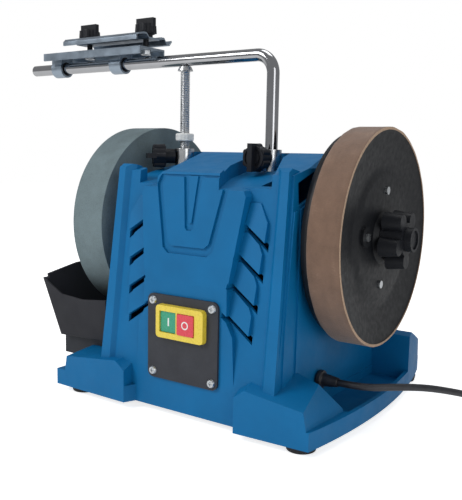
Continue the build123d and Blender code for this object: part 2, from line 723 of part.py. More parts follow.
def jig_knob(x):
    """Winged knob on a screw that reaches into the nut below, short enough to miss the bar when closed."""
    tip = BAR_Z + BAR_R + JAW_TRAVEL + 0.7
    low = JAW_SEAT_Z + 0.2
    neck = rod_z(SCREW_R, tip, low + 3, x, BAR_Y) + rod_z(7.2, low, low + KNOB_NECK, x, BAR_Y)
    return neck + Pos(x, BAR_Y, low + KNOB_NECK) * grip(9.6, 10)


# ---------------------------------------------------------------- water trough
def trough_profile(inset):
    i = inset
    return [(-190 + i, 124), (-165 + i, 51 + i), (-98 - i, 54 + i), (-95 - i, 124)]


def water_trough():
    """Deep tapered tray round the lower part of the stone, with a dipped front and back lip."""
    outer = prism_y(trough_profile(0), -TROUGH_END, TROUGH_END)
    taper = prism_x([(-112, 125), (-104, 40), (104, 40), (112, 125)], -200, -90)
    hollow = prism_y(trough_profile(TROUGH_T), -TROUGH_END, TROUGH_END)
    hollow &= prism_x([(-109.5, 126), (-101.5, 42), (101.5, 42), (109.5, 126)], -200, -90)
    body = (outer & taper) - hollow
    lip = [(-196, 130), (-190.5, 114), (-160, 96), (-130, 93.5), (-90, 97.5), (-90, 130)]
    body -= prism_y(lip, -120, -104) + prism_y(lip, 104, 120)
    rim = [(-125, 130), (-125, 114), (-104, 114), (-60, 121), (60, 121), (104, 114), (125, 114), (125, 130)]
    body -= prism_x(rim, -200, -160)
    low_side = [(-125, 130), (-125, 98), (-90, 98), (-70, 105), (70, 105), (90, 98), (125, 98), (125, 130)]
    return body - prism_x(low_side, -101, -80)


def trough_supports():
    """Two upright brackets on the base that carry the trough."""
    supports = Part()
    for y in (-96, 96 - BRACKET_W):
        supports += block(-168, -112, y, y + BRACKET_W, 30, 50.7)
    return supports - base_body(0)


# ---------------------------------------------------------------- mains lead
def cord_gland():
    """Gland nut in the side wall with a tapered strain relief."""
    wall = MID + SIDE_HALF
    gland = ring_x(5.0, CORD_D / 2, wall - 8, wall + 1.5, GLAND_Y, GLAND_Z)
    gland += ring_x(8.5, CORD_D / 2, wall + 1.5, wall + 6, GLAND_Y, GLAND_Z)
    taper = Pos(wall + 6 + 7.5, GLAND_Y, GLAND_Z) * Rot(0, 90, 0) * Cone(6.2, 4.2, 15)
    return gland + (taper - rod_x(CORD_D / 2, wall, wall + 30, GLAND_Y, GLAND_Z))


def lead_route():
    """The free lead from its gland down to the bench and the coil."""
    return [(MID + SIDE_HALF + 21, GLAND_Y, GLAND_Z), (151, GLAND_Y, GLAND_Z), (173, -26, 41), (193, -1, 38),
            (209, 30, 29), (221, 62, 18), (231, 94, 8), (239, 124, COIL_LOW + 0.1), (241, 146, COIL_LOW)]


def tail_route():
    """From the top of the coil to the back of the plug."""
    top = COIL_LOW + COIL_LAYER
    return [(333, 148, top), (334.5, 132, top + 0.8), (PLUG_X, 113, PLUG_Z), (PLUG_X, PLUG_BACK, PLUG_Z)]


def cord_path(points):
    """Straight runs joined by arcs as large as the runs allow."""
    radii = []
    for before, here, after in zip(points, points[1:], points[2:]):
        a = Vector(*here) - Vector(*before)
        b = Vector(*after) - Vector(*here)
        radii.append(0.45 * min(a.length, b.length) / math.tan(math.radians(a.get_angle(b)) / 2))
    print("cord radii", [round(r) for r in radii])
    return FilletPolyline(*points, radius=radii)


def cord_along(points):
    path = cord_path(points)
    section = Plane(origin=path @ 0, z_dir=path % 0) * Circle(CORD_D / 2)
    tube = sweep(section, path=path)
    print("cord volume against section times length", tube.volume, math.pi * CORD_D ** 2 / 4 * path.length)
    return tube


def cord_coil():
    """The outer shape of the put-away turns, two layers deep."""
    x, y = COIL_AT
    return ring_z(COIL_OUT, COIL_IN, COIL_LOW - CORD_D / 2, COIL_LOW + COIL_LAYER + CORD_D / 2, x, y)


def cord_lead():
    x, y = COIL_AT
    return cord_along(lead_route()) - rod_z(COIL_OUT, 0, 30, x, y)


def cord_tail():
    x, y = COIL_AT
    return cord_along(tail_route()) - rod_z(COIL_OUT, 0, 30, x, y)


def coil_tie():
    """Strap round the coil's turns."""
    x, y = COIL_AT
    mid = (COIL_IN + COIL_OUT) / 2
    half = (COIL_OUT - COIL_IN) / 2
    low, high = COIL_LOW - CORD_D / 2, COIL_LOW + COIL_LAYER + CORD_D / 2
    strap = block(-half - 0.8, half + 0.8, -5, 5, low - 0.8, high + 0.8)
    strap -= block(-half, half, -6, 6, low, high)
    return Pos(x, y, 0) * Rot(0, 0, 70) * Pos(mid, 0, 0) * strap - cord_coil()


def plug_body():
    """Round two-pin earthed plug with its own strain relief."""
    profile = [(0, 0), (4.2, 0), (5.5, 20), (10, 22), (15, 34), (18.2, 38), (18.2, 56), (0, 56)]
    body = revolve(Plane.XY * face_of(profile), Axis.Y)
    well = Pos(0, 47, 0) * Rot(90, 0, 0) * Cylinder(15.5, 18.2)
    core = Pos(0, 47, 0) * Rot(90, 0, 0) * Cylinder(12.5, 18.2)
    body -= (well - core) & block(-20, 20, 38, 60, -20, 20)
    return Pos(PLUG_X, PLUG_BACK, PLUG_Z) * Rot(0, 0, 180) * body


def plug_pins():
    pins = Part()
    for dx in (-9.5, 9.5):
        pins += rod_y(2.4, PLUG_BACK - 75, PLUG_BACK - 56, PLUG_X + dx, PLUG_Z)
    return pins


PARTS = {
    "housing": housing,
    "bottom_plate": bottom_plate,
    "rubber_feet": rubber_feet,
    "foot_screws": foot_screws,
    "panel_plate": panel_plate,
    "panel_screws": plate_screws,
    "switch_frame": switch_frame,
    "switch_body": switch_body,
    "green_button": lambda: push_button(button_middles()[0], 3.4),
    "red_button": lambda: push_button(button_middles()[1], 6.0),
    "axle": axle,
    "axle_bushes": axle_bushes,
    "grinding_stone": grinding_stone,
    "honing_wheel": honing_wheel,
    "drive_ring": drive_ring,
    "leather_band": leather_band,
    "hub_screws": hub_screws,
    "stone_flanges": stone_flanges,
    "stone_nut": stone_nut,
    "honing_spacer": honing_spacer,
    "star_knob": star_knob,
    "motor_body": motor_body,
    "motor_rotor": motor_rotor,
    "motor_shaft": motor_shaft,
    "drive_roller": drive_roller,
    "motor_bells": motor_bells,
    "motor_bearings": motor_bearings,
    "motor_bracket": motor_bracket,
    "capacitor": capacitor,
    "support_bar": support_bar,
    "threaded_rod": threaded_rod,
    "adjusting_nut": adjusting_nut,
    "left_sleeve": lambda: sleeve(ROD_X, ROD_R + RUN, (-1, -1, 0)),
    "right_sleeve": lambda: sleeve(LEG_X, BAR_R + RUN, (0, -1, 0)),
    "left_clamp_knob": lambda: clamp_knob(ROD_X, (-1, -1, 0), ROD_R + GAP),
    "right_clamp_knob": lambda: clamp_knob(LEG_X, (0, -1, 0), BAR_R + GAP),
    "jig_liners": jig_liners,
    "jig_carrier": jig_carrier,
    "jig_jaw": jig_jaw,
    "jig_nuts": jig_nuts,
    "jig_left_knob": lambda: jig_knob(JIG_SCREW_X[0]),
    "jig_right_knob": lambda: jig_knob(JIG_SCREW_X[1]),
    "water_trough": water_trough,
    "trough_supports": trough_supports,
    "cord_gland": cord_gland,
    "cord_lead": cord_lead,
    "cord_coil": cord_coil,
    "cord_tail": cord_tail,
    "coil_tie": coil_tie,
    "plug_body": plug_body,
    "plug_pins": plug_pins,
}

for node, make in PARTS.items():
    save(node, make())
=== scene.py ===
import json
import math
import random

import bmesh
import bpy
from bpy.props import FloatProperty, FloatVectorProperty, IntProperty, PointerProperty
from mathutils import Matrix, Vector


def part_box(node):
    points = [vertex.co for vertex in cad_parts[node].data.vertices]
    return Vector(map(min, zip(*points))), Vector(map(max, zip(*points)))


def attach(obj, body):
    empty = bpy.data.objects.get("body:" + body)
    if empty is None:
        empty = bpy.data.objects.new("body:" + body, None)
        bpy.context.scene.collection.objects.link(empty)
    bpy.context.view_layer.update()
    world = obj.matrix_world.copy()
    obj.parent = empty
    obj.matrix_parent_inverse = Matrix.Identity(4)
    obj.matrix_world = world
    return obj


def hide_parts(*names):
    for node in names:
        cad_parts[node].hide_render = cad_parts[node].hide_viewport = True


bl_info = {
    "name": "Wet Grinding Sharpener",
    "version": (1, 0, 0),
    "blender": (4, 5, 0),
    "location": "3D View > Sidebar > Sharpener",
    "description": "Finishes, fine detail, mains lead, lights and camera for a two-wheel wet grinding sharpener",
    "category": "Object",
}

MM = 0.001
WHITE_LIGHT = (1.0, 1.0, 1.0)
FULL_TURN = 2 * math.pi

# Honing band
BAND_RIM = 2.6 * MM        # thickness of the leather
BAND_EDGE = 0.8 * MM       # rounding of its shoulders
BAND_AROUND = 360
BAND_ACROSS = 8
BAND_SINK = 0.1 * MM       # keeps the waves of the surface inside the wheel's size

# Height adjusting leg
LEG_R = 5.1 * MM
COLLAR_H = 5.1 * MM
LEG_AROUND = 24
ROWS_PER_THREAD = 6
KNURL_DIP = 0.45 * MM

# Switch marks
MARK_PROUD = 0.15 * MM
MARK_AROUND = 48

# Mains lead, in millimetres
LEAD_TO_COIL = ((127, -42, 40), (151, -42, 40), (173, -26, 41), (193, -1, 38), (209, 30, 29), (221, 62, 18),
                (231, 94, 8), (239, 124, 4.3))
LEAD_TO_PLUG = ((334.5, 132, 11.5), (336.5, 113, 18.4), (336.5, 90, 18.4))
COIL_MIDDLE = Vector((287.0, 140.0)) * MM
COIL_R = 45.9 * MM
COIL_PITCH = 6.6 * MM
COIL_LOW = 4.2 * MM
COIL_HIGH = 10.7 * MM
COIL_TURNS = 3
COIL_STEPS = 16            # points in one turn

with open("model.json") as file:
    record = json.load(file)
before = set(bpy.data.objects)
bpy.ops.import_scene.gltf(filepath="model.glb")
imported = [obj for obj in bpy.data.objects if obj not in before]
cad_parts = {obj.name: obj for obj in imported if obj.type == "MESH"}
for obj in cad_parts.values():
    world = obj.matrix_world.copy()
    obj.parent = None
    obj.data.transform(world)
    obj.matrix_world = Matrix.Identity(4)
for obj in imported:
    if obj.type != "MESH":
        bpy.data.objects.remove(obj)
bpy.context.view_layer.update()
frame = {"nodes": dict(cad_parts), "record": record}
NODES = frame["nodes"]


# ------------------------------------------------------------------ colours and measures
def linear(code):
    """An sRGB hex colour as linear red, green and blue."""
    parts = [int(code[i:i + 2], 16) / 255 for i in (1, 3, 5)]
    return tuple(c / 12.92 if c <= 0.04045 else ((c + 0.055) / 1.055) ** 2.4 for c in parts)


class SharpenerColours(bpy.types.PropertyGroup):
    """Colours that an owner would choose."""

    housing: FloatVectorProperty(name="Housing", description="Moulded body and base", subtype="COLOR",
                                 size=3, min=0, max=1, default=linear("#00689F"))
    leather: FloatVectorProperty(name="Leather", description="Flesh side of the honing band", subtype="COLOR",
                                 size=3, min=0, max=1, default=linear("#755C4C"))
    leather_edge: FloatVectorProperty(name="Leather edge", description="Cut edge of the honing band",
                                      subtype="COLOR", size=3, min=0, max=1, default=linear("#B59B84"))
    stone: FloatVectorProperty(name="Stone", description="Bonded grit of the grinding stone", subtype="COLOR",
                               size=3, min=0, max=1, default=linear("#6B7C81"))
    switch_surround: FloatVectorProperty(name="Switch surround", description="Frame round the two keys",
                                         subtype="COLOR", size=3, min=0, max=1, default=linear("#E9CF3F"))
    start_key: FloatVectorProperty(name="Start key", description="Key that switches on", subtype="COLOR",
                                   size=3, min=0, max=1, default=linear("#1C9A76"))
    stop_key: FloatVectorProperty(name="Stop key", description="Key that switches off", subtype="COLOR",
                                  size=3, min=0, max=1, default=linear("#DC3346"))


class SharpenerSizes(bpy.types.PropertyGroup):
    """Sizes of the fine detail."""

    moulded_edge: FloatProperty(name="Moulded edge", description="Radius on the edges of moulded parts",
                                default=0.9 * MM, unit="LENGTH", precision=5)
    metal_edge: FloatProperty(name="Metal edge", description="Broken edge on turned and pressed parts",
                              default=0.35 * MM, unit="LENGTH", precision=5)
    thread_pitch: FloatProperty(name="Thread pitch", description="Pitch of the height adjusting thread",
                                default=1.75 * MM, unit="LENGTH", precision=5)
    thread_depth: FloatProperty(name="Thread depth", description="Depth of the height adjusting thread",
                                default=0.8 * MM, unit="LENGTH", precision=5)
    knurls: IntProperty(name="Knurls", description="Ridges round the height adjusting nut", default=40, min=8)
    lead: FloatProperty(name="Lead diameter", description="Diameter of the mains lead", default=6.4 * MM,
                        unit="LENGTH", precision=5)


# ------------------------------------------------------------------ material tools
def add(tree, kind, sockets=None, settings=None):
    """Adds a shader node. A socket's value is a constant or another node's output, which is linked."""
    made = tree.nodes.new(kind)
    for name, value in (settings or {}).items():
        setattr(made, name, value)
    for name, value in (sockets or {}).items():
        if isinstance(value, bpy.types.NodeSocket):
            tree.links.new(value, made.inputs[name])
        else:
            made.inputs[name].default_value = value
    return made


def plain(name, colour, roughness, metallic=0.0, **sockets):
    """A new material with its shader's constant values set. Returns the material, its tree and its shader."""
    material = bpy.data.materials.new(name)
    material.use_nodes = True
    tree = material.node_tree
    shader = tree.nodes["Principled BSDF"]
    shader.inputs["Base Color"].default_value = (*colour, 1.0)
    shader.inputs["Roughness"].default_value = roughness
    shader.inputs["Metallic"].default_value = metallic
    for socket, value in sockets.items():
        shader.inputs[socket.replace("_", " ")].default_value = value
    return material, tree, shader


def shade(colour, amount):
    """The colour made darker, under 1, or lighter, over 1."""
    return tuple(min(1.0, c * amount) for c in colour)


def speckle(tree, size, detail=3.0, stretch=(1.0, 1.0, 1.0)):
    """Noise whose spots are size metres across, stretched along an axis by values under 1."""
    place = add(tree, "ShaderNodeTexCoord")
    spread = add(tree, "ShaderNodeMapping", {"Vector": place.outputs["Object"], "Scale": stretch})
    noise = add(tree, "ShaderNodeTexNoise", {"Vector": spread.outputs[0], "Scale": 1.0 / size, "Detail": detail,
                                             "Roughness": 0.6})
    return noise.outputs["Fac"]


def tones(tree, shader, source, stops):
    """Colours the surface by a pattern: stops are pairs of position and colour."""
    ramp = add(tree, "ShaderNodeValToRGB", {"Fac": source})
    elements = ramp.color_ramp.elements
    while len(elements) < len(stops):
        elements.new(0.5)
    for element, (position, colour) in zip(elements, stops):
        element.position = position
        element.color = (*colour, 1.0)
    tree.links.new(ramp.outputs["Color"], shader.inputs["Base Color"])
    return ramp.outputs["Color"]


def worn(tree, shader, source, low, high):
    """Lets roughness wander between two values with a pattern."""
    span = add(tree, "ShaderNodeMapRange", {"Value": source, "From Min": 0.3, "From Max": 0.7, "To Min": low,
                                            "To Max": high})
    tree.links.new(span.outputs[0], shader.inputs["Roughness"])


def raised(tree, shader, source, depth, strength=1.0, under=None):
    """Raises the surface by a pattern, depth metres at most."""
    sockets = {"Height": source, "Distance": depth, "Strength": strength}
    if under is not None:
        sockets["Normal"] = under
    bump = add(tree, "ShaderNodeBump", sockets)
    tree.links.new(bump.outputs["Normal"], shader.inputs["Normal"])
    return bump.outputs["Normal"]


# ------------------------------------------------------------------ materials
def moulded_polypropylene(name, colour, texture=0.7 * MM):
    """Injection-moulded polypropylene from a spark-eroded mould: a fine even grain that breaks up the
    highlight, with faint flow marks in the colour. The grain is drawn about twice its real size to show."""
    material, tree, shader = plain(name, colour, 0.5, IOR=1.49, Specular_IOR_Level=0.25)
    flow = speckle(tree, 60 * MM, 4.0)
    tones(tree, shader, flow, [(0.3, shade(colour, 0.9)), (0.7, shade(colour, 1.08))])
    grain = speckle(tree, texture, 2.0)
    worn(tree, shader, speckle(tree, 14 * MM, 4.0), 0.44, 0.58)
    raised(tree, shader, grain, 0.05 * MM, 0.55)
    return material


def moulded_nylon(name, colour):
    """Glass-filled nylon: a hard black moulding, slightly streaked where the fibres reach the surface."""
    material, tree, shader = plain(name, colour, 0.45, IOR=1.53, Specular_IOR_Level=0.22)
    streaks = speckle(tree, 1.6 * MM, 5.0, (1.0, 1.0, 0.35))
    tones(tree, shader, streaks, [(0.3, shade(colour, 0.85)), (0.7, shade(colour, 1.2))])
    worn(tree, shader, speckle(tree, 5 * MM), 0.4, 0.56)
    raised(tree, shader, streaks, 0.05 * MM, 0.35)
    return material


def gloss_polycarbonate(name, colour):
    """Polished polycarbonate keys and surround: clean colour, a soft shine and a few fine rubs."""
    material, tree, shader = plain(name, colour, 0.25, IOR=1.58, Coat_Weight=0.25)
    rubs = speckle(tree, 3 * MM, 6.0)
    tones(tree, shader, rubs, [(0.25, shade(colour, 0.92)), (0.75, shade(colour, 1.04))])
    worn(tree, shader, rubs, 0.2, 0.36)
    raised(tree, shader, rubs, 0.03 * MM, 0.3)
    return material


def powder_coat(name, colour):
    """Black powder-coated steel plate: the orange-peel skin of baked powder."""
    material, tree, shader = plain(name, colour, 0.5, IOR=1.5, Specular_IOR_Level=0.3)
    peel = speckle(tree, 1.3 * MM, 2.0)
    tones(tree, shader, speckle(tree, 18 * MM, 4.0), [(0.3, shade(colour, 0.85)), (0.7, shade(colour, 1.15))])
    worn(tree, shader, peel, 0.42, 0.58)
    raised(tree, shader, peel, 0.08 * MM, 0.6)
    return material


def suede_leather(name, colour, pale):
    """Vegetable-tanned leather with its flesh side out: short raised fibres, cloudy brown patches and darker
    bands where compound and steel have rubbed it."""
    material, tree, shader = plain(name, colour, 0.88, IOR=1.45, Sheen_Weight=0.25, Sheen_Roughness=0.5)
    clouds = speckle(tree, 16 * MM, 6.0)
    fibre = speckle(tree, 0.9 * MM, 6.0, (0.45, 1.0, 1.0))
    rub = speckle(tree, 7 * MM, 3.0, (1.0, 0.25, 0.25))
    mixed = add(tree, "ShaderNodeMix", {"Factor": 0.42, "A": clouds, "B": fibre}, {"data_type": "FLOAT"})
    mixed = add(tree, "ShaderNodeMix", {"Factor": 0.25, "A": mixed.outputs[0], "B": rub}, {"data_type": "FLOAT"})
    tones(tree, shader, mixed.outputs[0], [(0.34, shade(colour, 0.68)), (0.46, shade(colour, 0.92)),
                                           (0.58, shade(colour, 1.08)), (0.78, shade(pale, 0.7))])
    worn(tree, shader, fibre, 0.82, 0.95)
    raised(tree, shader, fibre, 0.4 * MM, 0.9)
    return material


def cut_leather(name, colour):
    """The band's cut edge: paler, with the layered lines of the hide."""
    material, tree, shader = plain(name, colour, 0.85, IOR=1.45)
    layers = speckle(tree, 1.2 * MM, 4.0, (1.0, 0.6, 0.6))
    tones(tree, shader, layers, [(0.3, shade(colour, 0.7)), (0.55, colour), (0.75, shade(colour, 1.2))])
    raised(tree, shader, layers, 0.2 * MM, 0.6)
    return material


def bonded_grit(name, colour):
    """Vitrified aluminium oxide, about 220 grit: a matt, porous body of pale and dark grains with water
    stains. Grains are drawn near a millimetre across so that they show."""
    material, tree, shader = plain(name, colour, 0.93, IOR=1.6)
    place = add(tree, "ShaderNodeTexCoord")
    cells = add(tree, "ShaderNodeTexVoronoi", {"Vector": place.outputs["Object"], "Scale": 1.0 / (1.1 * MM)})
    stain = speckle(tree, 28 * MM, 5.0)
    fine = speckle(tree, 0.8 * MM, 4.0)
    mixed = add(tree, "ShaderNodeMix", {"Factor": 0.5, "A": stain, "B": fine}, {"data_type": "FLOAT"})
    tones(tree, shader, mixed.outputs[0], [(0.32, shade(colour, 0.62)), (0.47, shade(colour, 0.92)),
                                           (0.6, shade(colour, 1.12)), (0.72, shade(colour, 1.35))])
    pits = raised(tree, shader, cells.outputs["Distance"], 0.18 * MM, 0.5)
    raised(tree, shader, fine, 0.12 * MM, 0.6, pits)
    return material


def chrome_plate(name):
    """Bright chromium over ground steel bar: mirror reflections with faint lines along the bar."""
    colour = linear("#ADAEB1")
    material, tree, shader = plain(name, colour, 0.08, 1.0)
    lines = speckle(tree, 0.5 * MM, 3.0, (0.03, 1.0, 0.5))
    tones(tree, shader, speckle(tree, 25 * MM), [(0.3, shade(colour, 0.9)), (0.7, shade(colour, 1.02))])
    worn(tree, shader, lines, 0.05, 0.14)
    raised(tree, shader, lines, 0.01 * MM, 0.3)
    return material


def zinc_plate(name, colour, rough, cloud=0.16):
    """Bright zinc on pressed or turned steel: silvery, slightly blue and cloudy, with rolling lines."""
    material, tree, shader = plain(name, colour, rough, 1.0)
    clouds = speckle(tree, 9 * MM, 5.0)
    rolled = speckle(tree, 0.7 * MM, 3.0, (0.08, 1.0, 1.0))
    tones(tree, shader, clouds, [(0.3, shade(colour, 1 - cloud)), (0.7, shade(colour, 1 + cloud / 2))])
    worn(tree, shader, clouds, rough - 0.06, rough + 0.1)
    raised(tree, shader, rolled, 0.02 * MM, 0.4)
    return material


def turned_steel(name, colour):
    """Bright turned steel: fine rings left by the lathe tool."""
    material, tree, shader = plain(name, colour, 0.22, 1.0)
    rings = speckle(tree, 0.5 * MM, 2.0, (1.0, 0.05, 0.05))
    tones(tree, shader, speckle(tree, 8 * MM), [(0.3, shade(colour, 0.85)), (0.7, shade(colour, 1.05))])
    worn(tree, shader, rings, 0.16, 0.3)
    raised(tree, shader, rings, 0.02 * MM, 0.5)
    return material


def cast_aluminium(name, colour):
    """Die-cast aluminium: a dull, lightly pitted skin."""
    material, tree, shader = plain(name, colour, 0.45, 1.0)
    skin = speckle(tree, 1.4 * MM, 4.0)
    tones(tree, shader, speckle(tree, 12 * MM), [(0.3, shade(colour, 0.82)), (0.7, shade(colour, 1.06))])
    worn(tree, shader, skin, 0.38, 0.56)
    raised(tree, shader, skin, 0.1 * MM, 0.6)
    return material


def laminated_steel(name, colour):
    """Stacked motor laminations: dark varnished edges half a millimetre apart."""
    material, tree, shader = plain(name, colour, 0.5, 0.9)
    place = add(tree, "ShaderNodeTexCoord")
    sheets = add(tree, "ShaderNodeTexWave", {"Vector": place.outputs["Object"], "Scale": 1.0 / (1.0 * MM) / 6.28,
                                             "Distortion": 0.4}, {"bands_direction": "X"})
    tones(tree, shader, sheets.outputs["Fac"], [(0.2, shade(colour, 0.6)), (0.8, shade(colour, 1.15))])
    raised(tree, shader, sheets.outputs["Fac"], 0.1 * MM, 0.6)
    return material


def natural_rubber(name, colour):
    """Black moulded rubber: dull, slightly dusty, with a faint bloom."""
    material, tree, shader = plain(name, colour, 0.75, IOR=1.52)
    bloom = speckle(tree, 8 * MM, 5.0)
    skin = speckle(tree, 0.8 * MM, 3.0)
    tones(tree, shader, bloom, [(0.3, shade(colour, 0.7)), (0.7, shade(colour, 1.5))])
    worn(tree, shader, bloom, 0.62, 0.82)
    raised(tree, shader, skin, 0.06 * MM, 0.5)
    return material


def pvc_sheath(name, colour):
    """Extruded black PVC sheath: soft sheen with faint drawing lines and a little dust."""
    material, tree, shader = plain(name, colour, 0.45, IOR=1.53)
    dust = speckle(tree, 5 * MM, 5.0)
    tones(tree, shader, dust, [(0.3, shade(colour, 0.75)), (0.7, shade(colour, 1.6))])
    worn(tree, shader, dust, 0.36, 0.55)
    raised(tree, shader, speckle(tree, 0.7 * MM), 0.04 * MM, 0.4)
    return material


def sintered_bronze(name, colour):
    """Oil-soaked bronze bush: warm, dull and finely porous."""
    material, tree, shader = plain(name, colour, 0.4, 1.0)
    pores = speckle(tree, 0.6 * MM, 3.0)
    tones(tree, shader, pores, [(0.3, shade(colour, 0.6)), (0.6, colour)])
    worn(tree, shader, pores, 0.32, 0.5)
    raised(tree, shader, pores, 0.05 * MM, 0.5)
    return material


def all_materials(colours):
    """Every finish, by the record's material slot."""
    black = linear("#23252B")
    return {
        "blue_housing": moulded_polypropylene("moulded_blue_polypropylene", tuple(colours.housing)),
        "floor_steel": zinc_plate("galvanised_sheet", linear("#9A9FA3"), 0.45),
        "foot_rubber": natural_rubber("moulded_rubber_foot", linear("#1E1F22")),
        "zinc_fasteners": zinc_plate("zinc_plated_screw", linear("#C9CDD0"), 0.3),
        "panel_black": powder_coat("black_powder_coat", linear("#34363C")),
        "switch_yellow": gloss_polycarbonate("yellow_polycarbonate", tuple(colours.switch_surround)),
        "switch_black": moulded_nylon("black_nylon_block", black),
        "bush_brass": sintered_bronze("sintered_bronze", linear("#A8814A")),
        "motor_steel": laminated_steel("laminated_steel", linear("#7C8085")),
        "motor_aluminium": cast_aluminium("die_cast_aluminium", linear("#B6B9BC")),
        "bright_steel": turned_steel("ground_steel", linear("#C4C6C8")),
        "sleeve_steel": turned_steel("bright_turned_steel", linear("#DADCDD")),
        "bracket_grey": moulded_polypropylene("dark_grey_polypropylene", linear("#2F3238")),
        "cord_black": pvc_sheath("black_pvc_sheath", linear("#26272C")),
        "plug_metal": turned_steel("nickel_plated_brass", linear("#D6D3C8")),
        "stone_grey": bonded_grit("vitrified_grinding_stone", tuple(colours.stone)),
        "wheel_black": moulded_nylon("black_nylon_wheel", linear("#14161A")),
        "drive_rubber": natural_rubber("drive_ring_rubber", linear("#2A2A2C")),
        "leather": suede_leather("flesh_side_leather", tuple(colours.leather), tuple(colours.leather_edge)),
        "knob_black": moulded_nylon("black_nylon_knob", linear("#1B1D22")),
        "chrome_bar": chrome_plate("chromium_plated_bar"),
        "rod_zinc": zinc_plate("zinc_plated_thread", linear("#C6C8CA"), 0.3, 0.05),
        "nut_white": gloss_polycarbonate("white_acetal", linear("#E6E8E6")),
        "liner_black": moulded_nylon("acetal_liner", linear("#1B1C20")),
        "jig_zinc": zinc_plate("zinc_plated_pressing", linear("#98A5B2"), 0.34, 0.1),
        "start_green": gloss_polycarbonate("green_polycarbonate", tuple(colours.start_key)),
        "stop_red": gloss_polycarbonate("red_polycarbonate", tuple(colours.stop_key)),
        "trough_black": moulded_polypropylene("black_polypropylene", linear("#24252B")),
        "edge": cut_leather("cut_leather_edge", tuple(colours.leather_edge)),
        "symbol": gloss_polycarbonate("white_inlay", linear("#EDEFEC")),
    }


FINISHES = {}
MOULDED = {"blue_housing", "trough_black", "wheel_black", "knob_black", "foot_rubber", "bracket_grey",
           "switch_yellow", "cord_black"}
CRISP = {"panel_plate"}    # punched sheet, left with square edges


def dress(obj, slot):
    """Gives a piece its finish."""
    obj.data.materials.clear()
    obj.data.materials.append(FINISHES[slot])


def soften(obj, width, segments=2):
    """Rounds a piece's sharp edges, as its mould or tool leaves them."""
    weld = obj.modifiers.new("weld", "WELD")
    weld.merge_threshold = 0.00002
    bevel = obj.modifiers.new("edges", "BEVEL")
    bevel.width = width
    bevel.segments = segments
    bevel.limit_method = "ANGLE"
    bevel.angle_limit = math.radians(28)
    bevel.miter_outer = "MITER_ARC"
    bevel.use_clamp_overlap = True
    even = obj.modifiers.new("even", "WEIGHTED_NORMAL")
    even.keep_sharp = False
    even.weight = 100


def new_piece(name, mesh, body, slot, *stands_for):
    """Links a finished mesh, puts it on its body and hides the CAD pieces it stands for."""
    obj = bpy.data.objects.new(name, mesh)
    bpy.context.scene.collection.objects.link(obj)
    dress(obj, slot)
    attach(obj, body)
    if stands_for:
        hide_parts(*stands_for)
    return obj


def lofted(name, rows, closed_rows=True, smooth_angle=35):
    """A mesh over rows of points. Each row is a closed ring; closed_rows also joins the last row to the first."""
    bm = bmesh.new()
    rings = [[bm.verts.new(point) for point in row] for row in rows]
    pairs = list(zip(rings, rings[1:]))
    if closed_rows:
        pairs.append((rings[-1], rings[0]))
    count = len(rings[0])
    for near, far in pairs:
        for i in range(count):
            j = (i + 1) % count
            bm.faces.new((near[i], near[j], far[j], far[i]))
    bmesh.ops.recalc_face_normals(bm, faces=bm.faces)
    mesh = bpy.data.meshes.new(name)
    bm.to_mesh(mesh)
    bm.free()
    mesh.shade_smooth()
    mesh.set_sharp_from_angle(angle=math.radians(smooth_angle))
    return mesh


# ------------------------------------------------------------------ pieces
class SHARPENER_OT_finishes(bpy.types.Operator):
    """Make every material and give each CAD piece its finish and edges"""

    bl_idname = "sharpener.finishes"
    bl_label = "Finishes"

    def execute(self, context):
        FINISHES.update(all_materials(context.scene.sharpener_colours))
        sizes = context.scene.sharpener_sizes
        for part in frame["record"]["subparts"]:
            obj = NODES[part["node"]]
            dress(obj, part["material_slot"])
            width = sizes.moulded_edge if part["material_slot"] in MOULDED else sizes.metal_edge
            if part["node"] not in CRISP:
                soften(obj, width)
        return {"FINISHED"}


class SHARPENER_OT_honing_band(bpy.types.Operator):
    """Wrap the honing wheel in its leather band"""

    bl_idname = "sharpener.honing_band"
    bl_label = "Honing band"

    def execute(self, context):
        low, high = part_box("leather_band")
        centre = (low + high) / 2
        outer = (high.z - low.z) / 2
        random.seed(11)
        waves = [(random.randint(3, 40), random.uniform(0, 6.28), random.uniform(0.02, 0.06) * MM)
                 for _ in range(12)]
        rows = [self.ring(centre, x, radius, outer, waves) for x, radius in self.profile(low.x, high.x, outer)]
        tyre = lofted("leather_tyre", rows, True, 50)
        band = new_piece("leather_tyre", tyre, "spindle", "leather", "leather_band")
        band.data.materials.append(FINISHES["edge"])
        for face in band.data.polygons:
            if abs(face.normal.x) > 0.5:
                face.material_index = 1
        return {"FINISHED"}

    def profile(self, left, right, outer):
        """Points of X and radius from the left inner edge, over the tread, to the right inner edge."""
        points = [(left, outer - BAND_RIM), (left, outer - BAND_EDGE),
                  (left + BAND_EDGE * 0.3, outer - BAND_EDGE * 0.3), (left + BAND_EDGE, outer)]
        points += [(left + (right - left) * i / BAND_ACROSS, outer) for i in range(1, BAND_ACROSS)]
        points += [(right - BAND_EDGE, outer), (right - BAND_EDGE * 0.3, outer - BAND_EDGE * 0.3),
                   (right, outer - BAND_EDGE), (right, outer - BAND_RIM)]
        return points

    def ring(self, centre, x, radius, outer, waves):
        """One ring of the band. The surface waves a little everywhere but at the glued inside."""
        glued = radius <= outer - BAND_RIM
        row = []
        for i in range(BAND_AROUND):
            angle = FULL_TURN * i / BAND_AROUND
            r = radius
            if not glued:
                swell = sum(a * math.sin(n * angle + phase + x * 90) for n, phase, a in waves)
                r = min(outer, radius + swell - BAND_SINK)
            row.append((x, centre.y + r * math.cos(angle), centre.z + r * math.sin(angle)))
        return row


